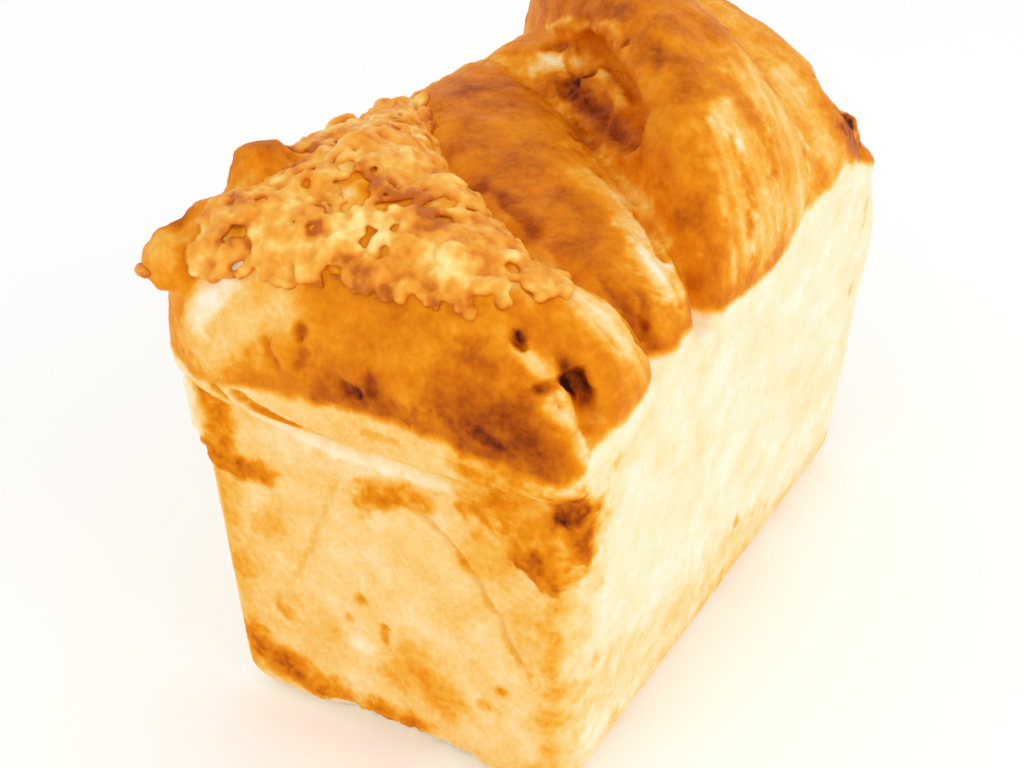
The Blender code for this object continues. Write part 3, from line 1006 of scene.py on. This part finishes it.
# A shred's end drop and how much fuller each next one is, as shares of its radius.
SHRED_END = 0.55
SHRED_FILLING = 0.25
TIGHTEST_CURL = 0.34
POOLS = 260
POOL_RADIUS = (2.0, 5.5)
POOL_ROUNDNESS = (0.5, 1.0)
POOL_DEPTH = (0.7, 1.9)
DROP_SUBDIVISIONS = 2
# How much cover a shred or pool starts on, where a shred ends, and how long it is where there is hardly any.
STREWN_COVER = 0.35
LEAST_COVER = 0.3
SHORTEST_SHARE = 0.5
CHEESE_VOXEL = 0.5
CHEESE_TRIANGLES = 180000
SOFTENING = 0.5
SOFTENING_ROUNDS = 3
# The rings that some shreds curled up into: centre and radius. Each goes nearly round once.
CURLS = (((-95, 20, 132), 4.6), ((-95, 20, 132), 1.6), ((-71, 5, 141), 6.2), ((-84, -6, 137), 4.0))
CURL_TURN = 5.8
CURL_THICKNESS = 1.2
# Where the cheese toasted more (above 0) or stayed paler: line, half width, how much.
TOASTS = (
    (((-94, 35, 133), (-91, 34, 136)), 7.0, 0.28),
    (((-83, 24, 138),), 9.0, -0.12),
    (((-74, 31, 141), (-65, 33, 140)), 5.0, 0.28),
    (((-65, 17, 143), (-62, 9, 142)), 9.0, -0.06),
    (((-73, 8, 141), (-74, 3, 140), (-76, -3, 140), (-80, -7, 139)), 6.0, 0.44),
    (((-86, 1, 136), (-84, 8, 138)), 8.0, -0.30),
    (((-93, 4, 131), (-93, -6, 130)), 7.0, 0.20),
    (((-93, -6, 130),), 4.0, 0.16),
    (((-84, -10, 137), (-88, -20, 132)), 7.0, -0.16),
    (((-91, -13, 130), (-91, -20, 130)), 5.0, 0.36),
    (((-76, -21, 135), (-80, -18, 136)), 7.0, 0.26),
    (((-86, -31, 131),), 7.0, -0.16),
    (((-90, 15, 136), (-90, 19, 137), (-87, 21, 137)), 3.6, 0.26),
)

# The ripples of the melted surface and the patches of its toasting, as the patches of the bread.
MELT_RIPPLES = (0.22, 2.2, 2, 1.0)
TOAST_CLOUDS = (0.34, 7.0, 3, 6.0)
# How far the cheese is toasted where it lies on the crust, how much paler it is where it stands proud of it
# (partly less toasted, partly a painted highlight on the raised shreds), between what heights, and how much
# more toasted at its edges.
TOASTED_TONE = 0.78
PROUD_PALENESS_AND_HIGHLIGHT = 0.30
PROUD_HEIGHTS = (0.2, 1.8)
EDGE_TOASTING = 0.22
CHEESE_GLOSS = 0.32
# From melted to toasted.
CHEESE_COLOURS = (
    (0.00, (255, 234, 160)),
    (0.25, (253, 210, 114)),
    (0.48, (247, 176, 64)),
    (0.68, (240, 156, 40)),
    (0.86, (226, 130, 20)),
    (1.00, (198, 102, 8)),
)

chance = random.Random(11)
flesh = bmesh.new()


def add_drop(melt, place, normal, radii):
    """One drop of melted cheese, flattened onto the crust."""
    turn = normal.to_track_quat("Z", "Y").to_matrix().to_4x4()
    where = Matrix.Translation(place) @ turn @ Matrix.Diagonal((*radii, 1.0))
    bmesh.ops.create_icosphere(melt, subdivisions=DROP_SUBDIVISIONS, radius=1.0, matrix=where)


def strew(melt):
    """Adds the finished drops to all of the cheese."""
    mesh = bpy.data.meshes.new("melt")
    melt.to_mesh(mesh)
    melt.free()
    flesh.from_mesh(mesh)
    bpy.data.meshes.remove(mesh)


def add_shred(start, heading, length, radius, curl):
    """A shred that follows the crust from its start and turns by the curl, in radians a millimetre."""
    place, normal = on_bread(start)
    shred = bmesh.new()
    for step in range(int(length / SHRED_STEP)):
        fullness = min(1.0, SHRED_END + SHRED_FILLING * min(step, length / SHRED_STEP - step))
        radii = (radius * fullness, radius * fullness, radius * SHRED_FLATNESS)
        add_drop(shred, place + normal * SHRED_LIFT * radius, normal, radii)
        heading = (heading - normal * heading.dot(normal)).normalized()
        turn = (curl + chance.uniform(-SHRED_WOBBLE, SHRED_WOBBLE)) * SHRED_STEP
        heading.rotate(Matrix.Rotation(turn, 3, normal))
        place, normal = on_bread(place + heading * SHRED_STEP)
        if cheese_cover(np.array([place]))[0] < LEAST_COVER:
            break
    strew(shred)


cover = cheese_cover(points)
covered = np.flatnonzero(cover > STREWN_COVER)
for spot in chance.choices(list(covered), k=SHREDS):
    heading = Vector((chance.uniform(-1, 1), chance.uniform(-1, 1), chance.uniform(-1, 1)))
    length = chance.uniform(*SHRED_LENGTH) * from_least(SHORTEST_SHARE, cover[spot])
    curl = chance.choice((-1, 1)) * TIGHTEST_CURL * chance.random() ** 2
    add_shred(Vector(points[spot]), heading, length, chance.uniform(*SHRED_RADIUS), curl)
for centre, radius in CURLS:
    middle, normal = on_bread(Vector(centre))
    arm = normal.orthogonal().normalized() * radius
    add_shred(middle + arm, normal.cross(arm), CURL_TURN * radius, CURL_THICKNESS, 1 / radius)
for spot in chance.choices(list(covered), k=POOLS):
    radius = chance.uniform(*POOL_RADIUS) * cover[spot]
    radii = (radius, radius * chance.uniform(*POOL_ROUNDNESS), chance.uniform(*POOL_DEPTH))
    pool = bmesh.new()
    add_drop(pool, Vector(points[spot]), Vector(normals[spot]), radii)
    strew(pool)

cheese = object_from("melted_cheese", flesh)
add_remesh(cheese, CHEESE_VOXEL)
soften = cheese.modifiers.new("soften", "SMOOTH")
soften.factor = SOFTENING
soften.iterations = SOFTENING_ROUNDS
put_skin(cheese, take_skin(cheese))
thinned(cheese, CHEESE_TRIANGLES)
points, normals = read_points(cheese.data)
points += normals * patches(points, *MELT_RIPPLES)[:, None]
write_points(cheese.data, points)

proud = np.array([(Vector(point) - on_bread(Vector(point))[0]).length for point in points])
# Where the cheese stands proud it is painted paler, partly as less toasting and partly as a painted
# highlight.
toasted = TOASTED_TONE - PROUD_PALENESS_AND_HIGHLIGHT * blend(*PROUD_HEIGHTS, proud) + patches(points, *TOAST_CLOUDS)
toasted += EDGE_TOASTING * (1 - cheese_cover(points))
ragged = RAGGED * patches(points, *WANDER)
for path, half_width, strength in TOASTS:
    toasted += strength * drawn(points, path, half_width, ragged)
store(cheese.data, "toasted", toasted)

cheese_skin, tree, toast = toasted_material(
    "toasted_cheese",
    tone="toasted",
    colours=CHEESE_COLOURS,
    patch=0.40,
    fleck=0.24,
    pore_depth=0.4,
    specular=0.22,
    soak=0.2,
    soak_colours=(1.0, 0.6, 0.2),
)
toast.inputs["Gloss"].default_value = CHEESE_GLOSS
cheese.data.materials.append(cheese_skin)
cheese.data.shade_smooth()
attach(cheese, "root")
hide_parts("loaf")
